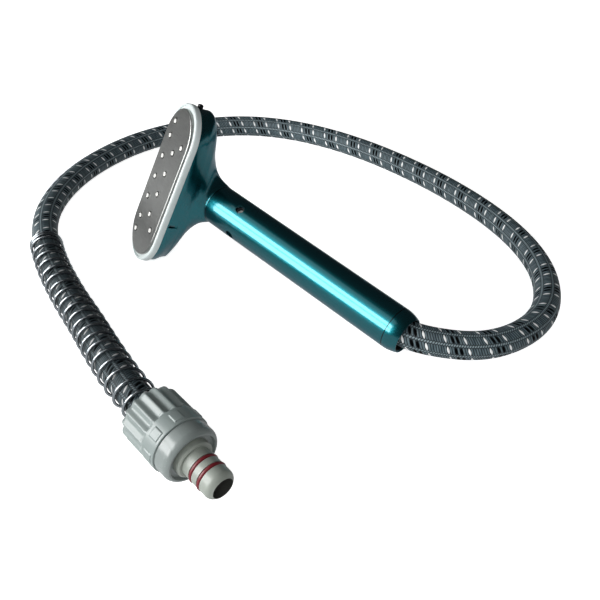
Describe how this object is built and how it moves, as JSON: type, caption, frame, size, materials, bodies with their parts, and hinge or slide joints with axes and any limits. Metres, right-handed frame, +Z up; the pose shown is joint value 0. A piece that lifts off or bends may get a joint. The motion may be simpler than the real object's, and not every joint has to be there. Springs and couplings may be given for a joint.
{
  "type": "handheld bath sprayer",
  "caption": "Handheld pet bath sprayer: stadium face plate with nozzles on a T-shaped teal head and round handle, braided hose with strain spring and quick connector.",
  "frame": {"origin": "on the ground, under the middle of the sprayer's own bounding box, hose and connector left out", "axes": "+X from the spray head towards the handle's tail end, +Y away from the side the face plate looks to, +Z up; the sprayer lies at rest on the ground"},
  "size_m": [0.4567, 0.4433, 0.1218],
  "materials": {
    "plate_steel": "satin",
    "rim_polymer": "satin",
    "teal_shell": "metallic gloss",
    "teal_sleeve": "metallic gloss",
    "teal_cap": "metallic gloss",
    "screw_steel": "polished",
    "black_rubber": "matte",
    "hose_braid": "woven",
    "spring_chrome": "polished",
    "nut_polymer": "matte",
    "collar_polymer": "satin",
    "spigot_polymer": "satin",
    "red_rubber": "satin",
    "pip_silicone": "satin",
    "inner_polymer": "matte",
    "core_polymer": "satin",
    "fitting_brass": "machined",
    "ferrule_aluminium": "satin",
    "cup_steel": "satin"
  },
  "bodies": {
    "sprayer": {"face_plate": "plate_steel", "rim_bumper": "rim_polymer", "head_shell": "teal_shell", "catch_stud": "core_polymer", "handle_sleeve": "teal_sleeve", "neck_screws": "screw_steel", "end_cap": "teal_cap", "hose_gland": "black_rubber", "hose_braid": "hose_braid", "strain_spring": "spring_chrome", "lock_collar": "collar_polymer", "spigot": "spigot_polymer", "spigot_o_rings": "red_rubber", "nozzle_mat": "pip_silicone", "water_chamber": "inner_polymer", "flow_spreader": "inner_polymer", "chamber_screws": "screw_steel", "inlet_pipe": "inner_polymer", "inlet_seal": "black_rubber", "neck_core": "core_polymer", "pipe_bracket": "inner_polymer", "tail_barb": "fitting_brass", "barb_seal": "black_rubber", "tail_ferrule": "ferrule_aluminium", "hose_liner": "black_rubber", "spring_cup": "cup_steel", "connector_ferrule": "ferrule_aluminium", "retaining_clip": "screw_steel"},
    "turning_nut": {"lock_nut": "nut_polymer"}
  },
  "joints": [
    {"name": "lock_nut_turn", "type": "hinge", "parent": "sprayer", "child": "turning_nut", "pos_m": [0.09521, -0.15759, 0.0192], "axis": [0.9911, -0.0919, -0.0958], "continuous": true}
  ]
}
